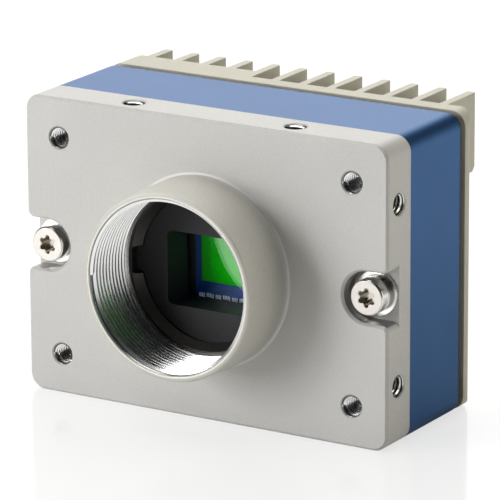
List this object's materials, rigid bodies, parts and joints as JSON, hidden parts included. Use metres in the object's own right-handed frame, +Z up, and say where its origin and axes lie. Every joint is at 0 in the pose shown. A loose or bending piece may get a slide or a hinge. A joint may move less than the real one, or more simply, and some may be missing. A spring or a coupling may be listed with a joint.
{
  "type": "machine vision camera",
  "caption": "Compact industrial camera body with a threaded lens mount on a flanged front plate, tubular housing, finned rear cover and network jack.",
  "frame": {"origin": "middle of the bounding box, on the face that it stands on", "axes": "+Z up, lens towards -Y, +X to the right as seen from the lens side"},
  "size_m": [0.0596, 0.0426, 0.044],
  "materials": {
    "bead_blasted_aluminium": "fine bead-blasted, clear",
    "grey_anodised_ring": "dark grey anodised, satin",
    "black_mask_plastic": "matt black",
    "cover_glass": "clear polished",
    "silicon_die": "coated silicon with green imaging area",
    "dark_ceramic": "dark sintered ceramic",
    "blue_anodised_aluminium": "satin blue anodised",
    "gasket_rubber": "matt moulded",
    "cast_cover_aluminium": "fine cast, matt clear coat",
    "polished_steel": "bright satin",
    "spring_steel": "blued spring finish",
    "bright_steel": "bright plated",
    "board_green": "solder-masked laminate",
    "standoff_brass": "turned brass",
    "connector_black": "moulded, satin",
    "chip_black": "moulded epoxy",
    "pad_rubber": "soft gap filler",
    "tinned_steel": "tin plated, rolled",
    "gold_contacts": "gold plated",
    "led_package": "clear over white",
    "clear_light_pipe": "clear moulded"
  },
  "bodies": {
    "root": {"front_plate": "bead_blasted_aluminium", "retaining_ring": "grey_anodised_ring", "sensor_mask": "black_mask_plastic", "sensor_cover_glass": "cover_glass", "sensor_die": "silicon_die", "sensor_package": "dark_ceramic", "housing_sleeve": "blue_anodised_aluminium", "housing_gasket": "gasket_rubber", "rear_cover": "cast_cover_aluminium", "plate_screws": "polished_steel", "lock_washers": "spring_steel", "flat_washers": "bright_steel", "sensor_board": "board_green", "main_board": "board_green", "board_standoffs": "standoff_brass", "board_screws": "polished_steel", "link_socket": "connector_black", "link_header": "connector_black", "processor_chip": "chip_black", "thermal_pad": "pad_rubber", "memory_chips": "chip_black", "network_transformer": "chip_black", "network_jack_shield": "tinned_steel", "network_jack_insert": "connector_black", "network_contacts": "gold_contacts", "header_shroud": "connector_black", "header_pins": "gold_contacts", "status_led": "led_package", "light_pipe": "clear_light_pipe"}
  },
  "joints": []
}
